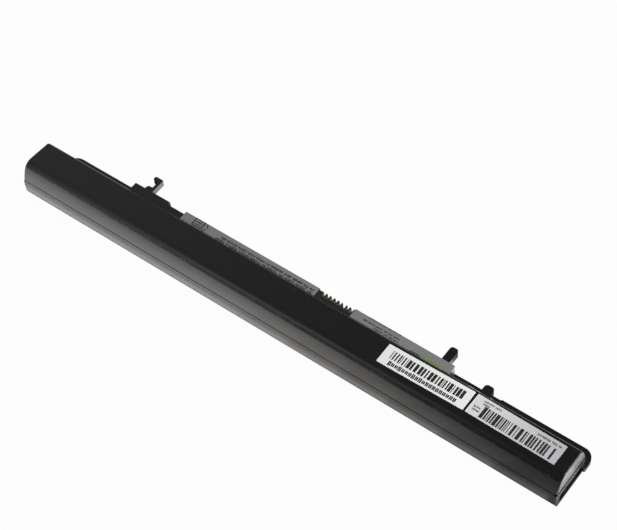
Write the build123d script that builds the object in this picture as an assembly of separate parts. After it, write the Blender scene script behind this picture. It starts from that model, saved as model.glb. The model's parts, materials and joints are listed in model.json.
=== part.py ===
from build123d import *
import os
from math import cos, radians, sin, sqrt

# A slim four-cell laptop battery: a long bar with a rounded front, four round cells in one line
# and a thin circuit board behind them. An upper shell and a lower shell meet at a parting line.
# Behind the bar a ledge carries two labels, a comb-shaped connector, a hook and two latch tabs.
# Axes while modelling: X along the bar from its middle, Y from the back edge of the flat top
# towards the latch side, Z up from the underside. Millimetres throughout.

# Cells and what joins them
CELL_COUNT = 4
CELL_DIAMETER = 18.2
CELL_LENGTH = 65.0
CELL_FRONT_CLEARANCE = 0.25
CELL_BACK_CLEARANCE = 0.1
CELL_HEIGHT_CLEARANCE = 0.2
BUTTON_DIAMETER = 8.0
BUTTON_HEIGHT = 0.8
CAN_EDGE_BREAK = 0.6
RING_INNER = 10.0
RING_MARGIN = 0.4
RING_THICKNESS = 0.3
STRAP_THICKNESS = 0.15
STRAP_FOLD_GAP = 0.5
STRAP_WIDTH = 8.0
STRAP_REACH = 6.5
STRAP_TAIL_LIFT = 0.2
STRAP_TAIL_WIDTH = 1.0
STRAP_FOOT_WIDTH = 3.0
LEFT_PAD = 1.5
RIGHT_PAD = 1.8
PAD_SIZE = 12.0
ADHESIVE_WIDTH = 8.0
ADHESIVE_THICKNESS = 0.15
ADHESIVE_END_SETBACK = 8.0

# Bar
WALL = 1.0
RIGHT_END_WALL = 3.0
PARTING_DROP = 9.0
FRONT_CURVE_DEPTH = 6.75
FRONT_CURVE_TURN = 28.0
FRONT_STRAIGHT = 2.3
FRONT_FOOT_RADIUS = 6.0
BACK_DEPTH = 3.5
BACK_CURVE_LIFT = 0.5
BACK_FOOT_RADIUS = 2.5
RIGHT_FOOT_RADIUS = 2.6
LEFT_FOOT_RADIUS = 2.5
CAVITY_FOOT_RADIUS = 1.5
LEFT_END_SLANT = 0.95
END_EDGE_BREAK = 0.4
BACK_EDGE_ROUND = 0.5
SEAM_WIDTH = 0.4
SEAM_DEPTH = 0.4
TONGUE_HEIGHT = 0.8
TONGUE_THICKNESS = 0.4
TONGUE_LEFT_SETBACK = 4.0
TONGUE_RIGHT_SETBACK = 6.0
FIT_GAP = 0.05

# Rear bay of the lower shell and its lip round the right end
REAR_DROP = 4.4
REAR_REACH = 2.6
REAR_LEFT_SETBACK = 5.0
REAR_LEFT_CORNER = 5.0
REAR_RIGHT_CORNER = 3.5
REAR_FOOT_RADIUS = 2.5
LIP_LENGTH = 41.2
LIP_EXTRA = 0.45
LIP_REACH = 1.35
LIP_CORNER = 4.5
LIP_THICKNESS = 2.6
LIP_END = 1.3
LIP_END_ROUND = 0.6
BAY_WINDOW_SILL = 4.0
BOARD_RIB_THICKNESS = 1.2
OUTER_RIB_SETBACKS = (14.0, 9.65)
INNER_RIB_PLACES = (-24.0, 6.0)

# Pocket in the right end
POCKET_DEPTH = 1.6
POCKET_TOP_STEP = 3.4
POCKET_FOOT = 3.6
POCKET_BACK = 1.2
POCKET_FRONT_SETBACK = 2.65
POCKET_CORNER = 0.8
POCKET_RIB_WIDTH = 0.7

# Ledge blocks of the upper shell
LEDGE_DROP = 2.65
SKIRT_BOARD_GAP = 0.3
NOTCH_DROP = 2.95
NOTCH_SETBACK = 1.3
LATCH_BLOCK_SETBACK = 45.0
LATCH_BLOCK_LENGTH = 19.0
NOTCH_BLOCK_LENGTH = 9.0
BAY_LEFT = 8.3
RIGHT_BLOCK_SETBACK = 61.2
LEDGE_EDGE_ROUND = 0.3

# Hook and latch tabs
HOOK_PLACE = 9.2
HOOK_LEG_WIDTH = 1.5
HOOK_TOE_REACH = 4.3
HOOK_REACH = 7.4
HOOK_TOE_LENGTH = 2.0
HOOK_HEIGHT = 3.0
HOOK_TOE_CORNER = 0.9
HOOK_TIP_CORNER = 0.6
HOOK_INNER_CORNER = 0.9
HOOK_GUSSET_DEPTH = 2.0
HOOK_GUSSET_DROP = 0.35
HOOK_GUSSET_STEP = 0.6
HOOK_GUSSET_CORNER = 0.8
LONG_TAB_SETBACK = 6.4
LONG_TAB_WIDTH = 3.6
LONG_TAB_REACH = 7.3
LONG_TAB_DROP = 3.4
LONG_TAB_HEIGHT = 3.6
LONG_TAB_CORNER = 1.3
SHORT_TAB_SETBACK = 50.2
SHORT_TAB_WIDTH = 4.4
SHORT_TAB_REACH = 3.2
SHORT_TAB_HEIGHT = 3.0
SHORT_TAB_CORNER = 1.6

# Connector
HOUSING_DROP = 2.9
HOUSING_SETBACK = 0.6
HOUSING_FOOT_HEIGHT = 1.5
HOUSING_SIDE_GAP = 0.05
WALL_GAP = 0.15
SLOT_COUNT = 8
KEY_SLOT_NUMBER = 6
SLOT_PITCH = 1.96
FIRST_SLOT_SETBACK = 3.0
LAST_SLOT_SETBACK = 1.18
SLOT_WIDTH = 1.15
KEY_SLOT_WIDTH = 1.75
LEAD_IN_REACH = 0.95
LEAD_IN_DEPTH = 0.9
LEAF_THICKNESS = 0.2
LEAF_SETBACK = 0.35
LEAF_TOP_SETBACK = 0.6
TAIL_WIDTH = 0.6
TAIL_LENGTH = 4.2

# Labels and stickers
LABEL_THICKNESS = 0.15
LABEL_MARGIN = 0.1
LABEL_END_OVERHANG = 0.3
STICKER_THICKNESS = 0.12
STICKER_LENGTH = 40.0
STICKER_WIDTH = 9.5
STICKER_CORNER = 0.3
STICKER_BACK_MARGIN = 0.9
STICKER_END_MARGIN = 5.6
STICKER_SPACING = 1.1
LEFT_STICKER_TURN = 0.74
RIGHT_STICKER_TURN = -0.84

# Circuit board, its parts and the leads
BOARD_END_MARGIN = 5.0
BOARD_THICKNESS = 0.8
BOARD_TOP_ROOM = 2.4
BOARD_FRONT_ROOM = 0.7
BOARD_BACK_ROOM = 1.4
SHEET_THICKNESS = 0.25
SHEET_TOP_ROOM = 1.1
SHEET_NOTCH_MARGIN = 0.4
LEAD_DIAMETER = 1.3
LEAD_CORNER_DEPTH = 1.2
LEAD_CORNER_HEIGHT = 1.3
LEAD_BEND_RADIUS = 6.0
LEAD_SHIFT_LENGTH = 9.0
TAB_ARM_WIDTH = 2.4
TAB_ARM_OVERLAP = 1.0
GAUGE_CHIP_PLACE = -5.5
GAUGE_CHIP_SIZE = (6.5, 4.4, 1.1)
FIRST_MOSFET_SETBACK = 31.6
SECOND_MOSFET_SETBACK = 24.1
MOSFET_SIZE = (5.0, 4.0, 1.0)
SENSE_RESISTOR_SETBACK = 15.6
SENSE_RESISTOR_SIZE = (6.3, 3.2, 0.6)
CHIP_FUSE_PLACE = -33.0
CHIP_FUSE_SIZE = (7.0, 3.0, 1.2)
QUARTZ_CLOCK_PLACE = -15.0
QUARTZ_CLOCK_SIZE = (5.5, 1.8, 1.2)
THERMISTOR_PLACE = 20.0
THERMISTOR_TOP_ROOM = 0.3
THERMISTOR_LENGTH = 3.0
THERMISTOR_HEIGHT = 2.0
THERMISTOR_THICKNESS = 0.35

# The row of cells sets the length, the height and the depth of the bar.
CELL_RADIUS = CELL_DIAMETER / 2
CELL_GAP = 2 * STRAP_THICKNESS + STRAP_FOLD_GAP
STACK_LENGTH = CELL_COUNT * CELL_LENGTH + (CELL_COUNT - 1) * CELL_GAP
LENGTH = WALL + LEFT_PAD + STACK_LENGTH + 2 * STRAP_THICKNESS + RIGHT_PAD + RIGHT_END_WALL
HEIGHT = CELL_DIAMETER + 2 * (WALL + CELL_HEIGHT_CLEARANCE)
CELL_BACK = BACK_DEPTH - WALL - CELL_BACK_CLEARANCE
FRONT_DEPTH = CELL_DIAMETER - CELL_BACK + CELL_FRONT_CLEARANCE + WALL
TOP_FLAT = FRONT_DEPTH - FRONT_CURVE_DEPTH
FRONT_CURVE_DROP = HEIGHT - FRONT_FOOT_RADIUS - FRONT_STRAIGHT
BACK_CURVE_DROP = HEIGHT / 2 - BACK_CURVE_LIFT
LEFT_END = -LENGTH / 2
RIGHT_END = LENGTH / 2
CAVITY_RIGHT = RIGHT_END - RIGHT_END_WALL
PARTING = HEIGHT - PARTING_DROP
CELL_Y = CELL_BACK - CELL_RADIUS
CELL_Z = HEIGHT / 2
STACK_START = LEFT_END + WALL + LEFT_PAD + STRAP_THICKNESS
STACK_END = STACK_START + STACK_LENGTH

# The board stands behind the cells, and the rear bay and the ledge follow it.
BOARD_FRONT = CELL_BACK + BOARD_FRONT_ROOM
BOARD_BACK = BOARD_FRONT + BOARD_THICKNESS
BOARD_HEIGHT = PARTING - WALL - BOARD_TOP_ROOM
BOARD_TOP = WALL + BOARD_HEIGHT
BOARD_LEFT = STACK_START + CELL_LENGTH + CELL_GAP / 2 - BOARD_END_MARGIN
BOARD_RIGHT = STACK_END - CELL_LENGTH - CELL_GAP / 2 + BOARD_END_MARGIN
BOARD_RIB_PLACES = (
    BOARD_LEFT + OUTER_RIB_SETBACKS[0],
    *INNER_RIB_PLACES,
    BOARD_RIGHT - OUTER_RIB_SETBACKS[1],
)
LEDGE_DEPTH = BOARD_BACK + BOARD_BACK_ROOM + WALL
NOTCH_DEPTH = LEDGE_DEPTH - NOTCH_SETBACK
SKIRT_FRONT = BOARD_BACK + SKIRT_BOARD_GAP
REAR_TOP = PARTING - REAR_DROP
REAR_DEPTH = LEDGE_DEPTH + REAR_REACH
REAR_LEFT = LEFT_END + REAR_LEFT_SETBACK
LATCH_BLOCK_LEFT = LEFT_END + LATCH_BLOCK_SETBACK
LATCH_BLOCK_RIGHT = LATCH_BLOCK_LEFT + LATCH_BLOCK_LENGTH
LEFT_LABEL_START = LATCH_BLOCK_RIGHT + NOTCH_BLOCK_LENGTH
RIGHT_BLOCK_END = RIGHT_END - RIGHT_BLOCK_SETBACK
HOOK_RIGHT = LATCH_BLOCK_LEFT + HOOK_PLACE
HOOK_TIP = LEDGE_DEPTH + HOOK_REACH
LONG_TAB_LEFT = RIGHT_BLOCK_END - LONG_TAB_SETBACK
LONG_TAB_TIP = LEDGE_DEPTH + LONG_TAB_REACH
SHORT_TAB_LEFT = RIGHT_END - SHORT_TAB_SETBACK
SHORT_TAB_TIP = REAR_DEPTH + SHORT_TAB_REACH

# The comb of the connector fills its bay.
FIRST_SLOT = BAY_LEFT + FIRST_SLOT_SETBACK
BAY_RIGHT = FIRST_SLOT + (SLOT_COUNT - 1) * SLOT_PITCH + LAST_SLOT_SETBACK
HOUSING_TOP = HEIGHT - HOUSING_DROP
HOUSING_DEPTH = LEDGE_DEPTH - HOUSING_SETBACK
SLOT_FLOOR = PARTING + HOUSING_FOOT_HEIGHT
SLOT_FRONT = BOARD_BACK
LEAD_IN_FRONT = SLOT_FRONT - LEAD_IN_REACH

# Stickers on the flat top, counted from the right end
STICKER_CENTRE_DEPTH = -STICKER_BACK_MARGIN - STICKER_WIDTH / 2
RIGHT_STICKER_X = RIGHT_END - STICKER_END_MARGIN - STICKER_LENGTH / 2
LEFT_STICKER_X = RIGHT_STICKER_X - STICKER_LENGTH - STICKER_SPACING

OVERCUT = 1.0
CLOSE = 0.01

# The finished part stands on its underside, with the middle of its outline at the origin.
ORIGIN_X = (LEFT_END - LEFT_END_SLANT + RIGHT_END + LIP_REACH) / 2
ORIGIN_Y = (HOOK_TIP - FRONT_DEPTH) / 2


def block(x0, x1, y0, y1, z0, z1):
    """Box between two corners."""
    corner = (Align.MIN, Align.MIN, Align.MIN)
    return Pos(x0, y0, z0) * Box(x1 - x0, y1 - y0, z1 - z0, align=corner)


def front_curve(grow):
    """Curve from the flat top to the straight front: a tight arc, then a wide one that turns a given angle."""
    turn = radians(FRONT_CURVE_TURN)
    rise, run = sin(turn), 1 - cos(turn)
    tight = (FRONT_CURVE_DEPTH * rise - FRONT_CURVE_DROP * run) / (rise - run)
    wide = (FRONT_CURVE_DEPTH - tight * cos(turn)) / run
    tight_centre = (-TOP_FLAT, HEIGHT - tight)
    wide_centre = (-FRONT_DEPTH + wide, HEIGHT - FRONT_CURVE_DROP)
    return [
        CenterArc(tight_centre, tight + grow, 90, 90 - FRONT_CURVE_TURN),
        CenterArc(wide_centre, wide + grow, 180 - FRONT_CURVE_TURN, FRONT_CURVE_TURN),
    ]


def body_section(grow=0.0):
    """D-shaped section of the bar on the YZ plane, grown or shrunk evenly by grow."""
    top, bottom = HEIGHT + grow, -grow
    front, back = -FRONT_DEPTH - grow, BACK_DEPTH + grow
    back_radius = (BACK_DEPTH**2 + BACK_CURVE_DROP**2) / (2 * BACK_DEPTH) + grow
    back_centre = (back - back_radius, HEIGHT - BACK_CURVE_DROP)
    top_back = back_centre[0] + sqrt(back_radius**2 - (top - back_centre[1]) ** 2)
    back_mid_z = (top + back_centre[1]) / 2
    back_mid_y = back_centre[0] + sqrt(back_radius**2 - (back_mid_z - back_centre[1]) ** 2)
    curve_end = HEIGHT - FRONT_CURVE_DROP
    foot, rear_foot = FRONT_FOOT_RADIUS + grow, BACK_FOOT_RADIUS + grow
    foot_y, foot_z = -FRONT_DEPTH + FRONT_FOOT_RADIUS, FRONT_FOOT_RADIUS
    rear_y, rear_z = BACK_DEPTH - BACK_FOOT_RADIUS, BACK_FOOT_RADIUS
    edges = [
        Line((top_back, top), (-TOP_FLAT, top)),
        *front_curve(grow),
        Line((front, curve_end), (front, foot_z)),
        CenterArc((foot_y, foot_z), foot, 180, 90),
        Line((foot_y, bottom), (rear_y, bottom)),
        CenterArc((rear_y, rear_z), rear_foot, 270, 90),
        Line((back, rear_z), (back, back_centre[1])),
        ThreePointArc((back, back_centre[1]), (back_mid_y, back_mid_z), (top_back, top)),
    ]
    return make_face(edges)


def end_side(inset, floor, foot, slant=0.0):
    """All that lies inside an end face at X 0, with a rounded foot edge.

    The inside lies towards +X. The face leans outwards by slant over the depth of the front.
    """
    top, far = HEIGHT + OVERCUT, 2 * LENGTH
    outline = [
        Line((inset, top), (inset, floor + foot)),
        CenterArc((inset + foot, floor + foot), foot, 180, 90),
        Line((inset + foot, floor), (far, floor)),
        Line((far, floor), (far, top)),
        Line((far, top), (inset, top)),
    ]
    depth = FRONT_DEPTH + REAR_DEPTH
    lean = Vector(-slant, -FRONT_DEPTH, 0)
    return extrude(Plane.XZ * make_face(outline), depth, dir=lean, both=True)


def between_ends(left_inset, right_inset, floor, left_foot, right_foot):
    """Space between the leaning left end and the square right end, above a floor."""
    left = Pos(LEFT_END, 0, 0) * end_side(left_inset, floor, left_foot, LEFT_END_SLANT)
    right = Pos(RIGHT_END, 0, 0) * mirror(end_side(right_inset, floor, right_foot), about=Plane.YZ)
    return left & right


def bar(inset=0.0):
    """The D-shaped bar, or the solid that lies inset within it."""
    length = LENGTH + LEFT_END_SLANT
    solid = extrude(Plane.YZ.offset(LEFT_END - LEFT_END_SLANT) * body_section(-inset), length)
    feet = LEFT_FOOT_RADIUS - inset, RIGHT_FOOT_RADIUS - inset
    return solid & between_ends(inset, inset, inset, *feet)


def half(solid, below):
    """The piece of a solid below or above the parting line."""
    reach = LENGTH
    low, high = (-reach, PARTING) if below else (PARTING, reach)
    return solid & block(-reach, reach, -reach, reach, low, high)


def seam_groove():
    """Fine step round the bar along the parting line, which shows as a dark line."""
    low, high = PARTING - SEAM_WIDTH / 2, PARTING + SEAM_WIDTH / 2
    left, right = LEFT_END - LEFT_END_SLANT - OVERCUT, RIGHT_END + OVERCUT
    front, back = -FRONT_DEPTH - OVERCUT, BACK_DEPTH + OVERCUT
    return block(left, right, front, back, low, high) - bar(SEAM_DEPTH)


def tongue(gap):
    """Lip of the upper shell that slides inside the lower shell's front wall."""
    outer = extrude(
        Plane.YZ.offset(LEFT_END + TONGUE_LEFT_SETBACK) * body_section(TONGUE_THICKNESS - WALL + gap),
        LENGTH - TONGUE_LEFT_SETBACK - TONGUE_RIGHT_SETBACK,
    )
    inner = extrude(Plane.YZ.offset(LEFT_END) * body_section(-WALL), LENGTH)
    drop = TONGUE_HEIGHT + gap
    strip = block(LEFT_END, RIGHT_END, -FRONT_DEPTH, CELL_Y, PARTING - drop, PARTING)
    return (outer - inner) & strip


def cell_space():
    """Space inside the bar for the row of cells."""
    length = LENGTH + LEFT_END_SLANT
    solid = extrude(Plane.YZ.offset(LEFT_END - LEFT_END_SLANT) * body_section(-WALL), length)
    feet = CAVITY_FOOT_RADIUS, CAVITY_FOOT_RADIUS
    return solid & between_ends(WALL, RIGHT_END_WALL, WALL, *feet)


def rear_bay(inset):
    """Low rear part of the lower shell, or the space in it, from the bar's middle to the rear wall."""
    left, right = REAR_LEFT + inset, (CAVITY_RIGHT if inset else RIGHT_END)
    depth = REAR_DEPTH - inset
    plan = Pos((left + right) / 2, (CELL_Y + depth) / 2) * Rectangle(right - left, depth - CELL_Y)
    back_left, back_right = plan.vertices().sort_by(Axis.Y)[2:].sort_by(Axis.X)
    plan = fillet(back_left, REAR_LEFT_CORNER - inset)
    plan = fillet(plan.vertices().sort_by_distance(back_right)[0], REAR_RIGHT_CORNER - inset)
    solid = Pos(0, 0, inset) * extrude(plan, REAR_TOP - 2 * inset)
    edges = solid.edges().filter_by(Axis.X).group_by(Axis.Z)[0].sort_by(Axis.Y)
    solid = fillet(edges[-1], REAR_FOOT_RADIUS - inset)
    right_foot = CAVITY_FOOT_RADIUS if inset else RIGHT_FOOT_RADIUS
    right_wall = RIGHT_END_WALL if inset else 0
    return solid & between_ends(inset, right_wall, inset, CAVITY_FOOT_RADIUS, right_foot)


def lip():
    """Lip that widens the rear part towards the right and wraps round the right end."""
    left, right = RIGHT_END - LIP_LENGTH, RIGHT_END + LIP_REACH
    back = REAR_DEPTH + LIP_EXTRA
    plan = Pos((left + right) / 2, (LIP_END + back) / 2) * Rectangle(right - left, back - LIP_END)
    front_right, back_right = plan.vertices().sort_by(Axis.X)[2:].sort_by(Axis.Y)
    plan = fillet(front_right, LIP_END_ROUND)
    plan = fillet(plan.vertices().sort_by_distance(back_right)[0], LIP_CORNER)
    return Pos(0, 0, REAR_TOP - LIP_THICKNESS) * extrude(plan, LIP_THICKNESS)


def end_pocket():
    """Recess in the right end, crossed by two low ribs."""
    top = PARTING - POCKET_TOP_STEP
    front = -FRONT_DEPTH + POCKET_FRONT_SETBACK
    mouth = Pos((front + POCKET_BACK) / 2, (POCKET_FOOT + top) / 2) * RectangleRounded(
        POCKET_BACK - front, top - POCKET_FOOT, POCKET_CORNER
    )
    floor = RIGHT_END - POCKET_DEPTH
    pocket = extrude(Plane.YZ.offset(floor) * mouth, POCKET_DEPTH + OVERCUT)
    third = (POCKET_BACK - front) / 3
    for step in (1, 2):
        y = front + step * third
        rib_end = RIGHT_END - POCKET_DEPTH / 2
        pocket -= block(
            floor, rib_end, y - POCKET_RIB_WIDTH / 2, y + POCKET_RIB_WIDTH / 2, 0, top
        )
    return pocket


def board_ribs():
    """Ribs across the rear part that hold the circuit board upright."""
    ribs = None
    for x in BOARD_RIB_PLACES:
        rib = block(
            x - BOARD_RIB_THICKNESS / 2,
            x + BOARD_RIB_THICKNESS / 2,
            BOARD_BACK + FIT_GAP,
            REAR_DEPTH,
            0,
            REAR_TOP,
        )
        ribs = rib if ribs is None else ribs + rib
    return ribs & rear_bay(WALL / 2)


def short_tab():
    """Short latch tab on the rear wall."""
    root = REAR_DEPTH - WALL / 2
    plan = Pos(SHORT_TAB_LEFT + SHORT_TAB_WIDTH / 2, (root + SHORT_TAB_TIP) / 2)
    plan = plan * Rectangle(SHORT_TAB_WIDTH, SHORT_TAB_TIP - root)
    tip = plan.vertices().sort_by(Axis.Y)[2:]
    plan = fillet(tip, SHORT_TAB_CORNER)
    return Pos(0, 0, REAR_TOP - SHORT_TAB_HEIGHT) * extrude(plan, SHORT_TAB_HEIGHT)


def ledge_openings():
    """Openings that join the cells, the board and the space inside the ledge."""
    spans = (
        (LATCH_BLOCK_LEFT + WALL, LATCH_BLOCK_RIGHT, LEDGE_DEPTH),
        (LATCH_BLOCK_RIGHT, LEFT_LABEL_START, NOTCH_DEPTH),
        (LEFT_LABEL_START, RIGHT_BLOCK_END - WALL, LEDGE_DEPTH),
    )
    front, high = CELL_Y, PARTING + OVERCUT
    return [
        block(start, end, front, depth - WALL, BAY_WINDOW_SILL, high) for start, end, depth in spans
    ]


def make_lower_shell():
    """Tub with the rear bay, the lip, the short tab and the end pocket."""
    shell = half(bar(), below=True) - seam_groove()
    shell += rear_bay(0)
    shell += lip()
    shell += short_tab()
    shell -= half(cell_space(), below=True)
    shell -= rear_bay(WALL)
    for opening in ledge_openings():
        shell -= opening
    shell += board_ribs()
    shell -= end_pocket()
    shell -= tongue(FIT_GAP)
    return shell


def ledge_block(left, right, depth, drop):
    """Raised block of the ledge, with its back edge broken, and its skirt down to the rear part."""
    solid = block(left, right, -BACK_DEPTH, depth, PARTING, HEIGHT - drop)
    edge = solid.edges().filter_by(Axis.X).sort_by(Axis.Y).group_by(Axis.Z)[-1].sort_by(Axis.Y)
    solid = fillet(edge[-1], LEDGE_EDGE_ROUND)
    return solid + block(left, right, SKIRT_FRONT, depth, REAR_TOP, PARTING)


def ledge_space(left, right, depth, drop):
    """Space inside a ledge block, open to the cells and to the rear bay."""
    return block(
        left + WALL,
        right - WALL,
        -BACK_DEPTH,
        depth - WALL,
        REAR_TOP - OVERCUT,
        HEIGHT - drop - WALL,
    )


def ledge_ends():
    """Lower walls that close the two ends of the ledge, past the ends of the board."""
    left, right = LATCH_BLOCK_LEFT, RIGHT_BLOCK_END - WALL
    walls = block(left, left + WALL, BACK_DEPTH, LEDGE_DEPTH, REAR_TOP, PARTING)
    return walls + block(right, right + WALL, BACK_DEPTH, LEDGE_DEPTH, REAR_TOP, PARTING)


def hook():
    """Hook on the latch block: a thin leg with a toe, and a gusset at its root."""
    top, bottom = HEIGHT - LEDGE_DROP, HEIGHT - LEDGE_DROP - HOOK_HEIGHT
    root = LEDGE_DEPTH - WALL / 2
    leg_left = HOOK_RIGHT - HOOK_LEG_WIDTH
    toe_left = HOOK_RIGHT - HOOK_TOE_REACH
    toe_front = HOOK_TIP - HOOK_TOE_LENGTH
    outline = Polyline(
        (leg_left, root),
        (HOOK_RIGHT, root),
        (HOOK_RIGHT, HOOK_TIP),
        (toe_left, HOOK_TIP),
        (toe_left, toe_front),
        (leg_left, toe_front),
        close=True,
    )
    plan = make_face(outline)
    toe_corners = plan.vertices().filter_by(lambda v: v.X < leg_left - CLOSE)
    plan = fillet(toe_corners, HOOK_TOE_CORNER)
    tip_corner = plan.vertices().filter_by(lambda v: v.X > leg_left + CLOSE and v.Y > toe_front)
    plan = fillet(tip_corner, HOOK_TIP_CORNER)
    inner_corner = plan.vertices().filter_by(
        lambda v: abs(v.X - leg_left) < CLOSE and abs(v.Y - toe_front) < CLOSE
    )
    plan = fillet(inner_corner, HOOK_INNER_CORNER)
    solid = Pos(0, 0, bottom) * extrude(plan, top - bottom)
    gusset_tip = LEDGE_DEPTH + HOOK_GUSSET_DEPTH
    gusset = make_face(
        Polyline(
            (toe_left, root),
            (leg_left + HOOK_LEG_WIDTH / 2, root),
            (leg_left + HOOK_LEG_WIDTH / 2, gusset_tip + HOOK_GUSSET_STEP),
            (leg_left - HOOK_GUSSET_STEP, gusset_tip),
            (toe_left + HOOK_GUSSET_CORNER, gusset_tip),
            (toe_left, LEDGE_DEPTH + HOOK_GUSSET_DEPTH / 2),
            close=True,
        )
    )
    gusset_height = top - bottom - HOOK_GUSSET_DROP
    return solid + Pos(0, 0, bottom) * extrude(gusset, gusset_height)


def long_tab():
    """Long latch tab on the back of the right label block."""
    root = LEDGE_DEPTH - WALL / 2
    middle = LONG_TAB_LEFT + LONG_TAB_WIDTH / 2
    plan = Pos(middle, (root + LONG_TAB_TIP) / 2) * Rectangle(LONG_TAB_WIDTH, LONG_TAB_TIP - root)
    tip = plan.vertices().sort_by(Axis.Y)[2:]
    plan = fillet(tip, LONG_TAB_CORNER)
    base = HEIGHT - LONG_TAB_DROP - LONG_TAB_HEIGHT
    return Pos(0, 0, base) * extrude(plan, LONG_TAB_HEIGHT)


LABEL_DROP = LEDGE_DROP + LABEL_THICKNESS
LEDGE_BLOCKS = (
    (LATCH_BLOCK_LEFT, LATCH_BLOCK_RIGHT, LEDGE_DEPTH, LEDGE_DROP),
    (LATCH_BLOCK_RIGHT, LEFT_LABEL_START, NOTCH_DEPTH, NOTCH_DROP),
    (LEFT_LABEL_START, BAY_LEFT, LEDGE_DEPTH, LABEL_DROP),
    (BAY_RIGHT, RIGHT_BLOCK_END, LEDGE_DEPTH, LABEL_DROP),
)


def make_upper_shell():
    """Rounded cover of the bar with the ledge blocks, the hook and the long tab."""
    cover = half(bar(), below=False)
    top_back = cover.edges().filter_by(Axis.X).group_by(Axis.Z)[-1].sort_by(Axis.Y)[-1]
    cover = fillet(top_back, BACK_EDGE_ROUND)
    end_edges = cover.edges().filter_by(
        lambda e: abs(e.center().X) > RIGHT_END - BACK_EDGE_ROUND and e.center().Z > PARTING + CLOSE
    )
    cover = chamfer(end_edges, END_EDGE_BREAK)
    cover -= seam_groove()
    for left, right, depth, drop in LEDGE_BLOCKS:
        cover += ledge_block(left, right, depth, drop)
    cover += ledge_ends()
    cover += hook() + long_tab()
    cover -= half(cell_space(), below=False)
    for left, right, depth, drop in LEDGE_BLOCKS:
        cover -= ledge_space(left, right, depth, drop)
    cover += tongue(0)
    return cover


def slot_places():
    """Middle and width of each slot of the comb."""
    places = []
    for number in range(1, SLOT_COUNT + 1):
        x = FIRST_SLOT + (number - 1) * SLOT_PITCH
        width = KEY_SLOT_WIDTH if number == KEY_SLOT_NUMBER else SLOT_WIDTH
        places.append((number, x, width))
    return places


def make_connector_housing():
    """Comb-shaped socket with slots open to the top and to the back, on a wall that closes its bay."""
    left, right = BAY_LEFT + HOUSING_SIDE_GAP, BAY_RIGHT - HOUSING_SIDE_GAP
    housing = block(left, right, 0, HOUSING_DEPTH, PARTING, HOUSING_TOP)
    housing += block(left, right, 0, LEDGE_DEPTH, PARTING, SLOT_FLOOR)
    housing += block(left, right, LEDGE_DEPTH - WALL, LEDGE_DEPTH, REAR_TOP, PARTING)
    housing -= extrude(Plane.YZ.offset(left) * body_section(WALL_GAP), right - left)
    for number, x, width in slot_places():
        low, high = x - width / 2, x + width / 2
        above, behind = HOUSING_TOP + OVERCUT, HOUSING_DEPTH + OVERCUT
        housing -= block(low, high, SLOT_FRONT, behind, SLOT_FLOOR, above)
        housing -= block(
            low, high, LEAD_IN_FRONT, SLOT_FRONT, HOUSING_TOP - LEAD_IN_DEPTH, above
        )
        if number != KEY_SLOT_NUMBER:
            gap = FIT_GAP
            housing -= block(
                x - TAIL_WIDTH / 2 - gap,
                x + TAIL_WIDTH / 2 + gap,
                BOARD_BACK - gap,
                BOARD_BACK + LEAF_THICKNESS + gap,
                PARTING - OVERCUT,
                SLOT_FLOOR,
            )
    return housing


def make_contact(x, width):
    """Forked spring contact: two leaves on the slot's walls, a base and a tail to the board."""
    low, high = x - width / 2, x + width / 2
    front, back = SLOT_FRONT, HOUSING_DEPTH - LEAF_SETBACK
    leaf_top = HOUSING_TOP - LEAF_TOP_SETBACK
    contact = block(low, high, front, back, SLOT_FLOOR, SLOT_FLOOR + LEAF_THICKNESS)
    contact += block(low, low + LEAF_THICKNESS, front, back, SLOT_FLOOR, leaf_top)
    contact += block(high - LEAF_THICKNESS, high, front, back, SLOT_FLOOR, leaf_top)
    contact += block(
        x - TAIL_WIDTH / 2,
        x + TAIL_WIDTH / 2,
        BOARD_BACK,
        BOARD_BACK + LEAF_THICKNESS,
        BOARD_TOP - TAIL_LENGTH,
        SLOT_FLOOR + LEAF_THICKNESS,
    )
    return contact


def make_silver_label(left, right):
    """Thin label on a ledge block, trimmed along the bar's back wall."""
    bottom = HEIGHT - LABEL_DROP
    sheet = block(left, right, 0, LEDGE_DEPTH - LABEL_MARGIN, bottom, bottom + LABEL_THICKNESS)
    return sheet - extrude(Plane.YZ.offset(left) * body_section(LABEL_MARGIN), right - left)


def make_sticker(x, turn):
    """White sticker on the flat top, laid a little askew."""
    plan = RectangleRounded(STICKER_LENGTH, STICKER_WIDTH, STICKER_CORNER)
    solid = extrude(plan, STICKER_THICKNESS)
    return Pos(x, STICKER_CENTRE_DEPTH, HEIGHT) * Rot(0, 0, turn) * solid


def along_x(x, radius, length):
    """Round bar along X on the cells' axis."""
    circle = Pos(CELL_Y, CELL_Z) * Circle(radius)
    return extrude(Plane.YZ.offset(x) * circle, length)


def make_cell(start):
    """Round cell with its raised button at the right end."""
    can_length = CELL_LENGTH - BUTTON_HEIGHT
    can = along_x(start, CELL_RADIUS, can_length)
    can = chamfer(can.edges().filter_by(GeomType.CIRCLE), CAN_EDGE_BREAK)
    return can + along_x(start + can_length, BUTTON_DIAMETER / 2, BUTTON_HEIGHT)


def make_ring(start):
    """Paper ring on the shoulder of a cell's button end."""
    shoulder = start + CELL_LENGTH - BUTTON_HEIGHT
    outer = along_x(shoulder, CELL_RADIUS - CAN_EDGE_BREAK - RING_MARGIN, RING_THICKNESS)
    return outer - along_x(shoulder, RING_INNER / 2, RING_THICKNESS)


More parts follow.
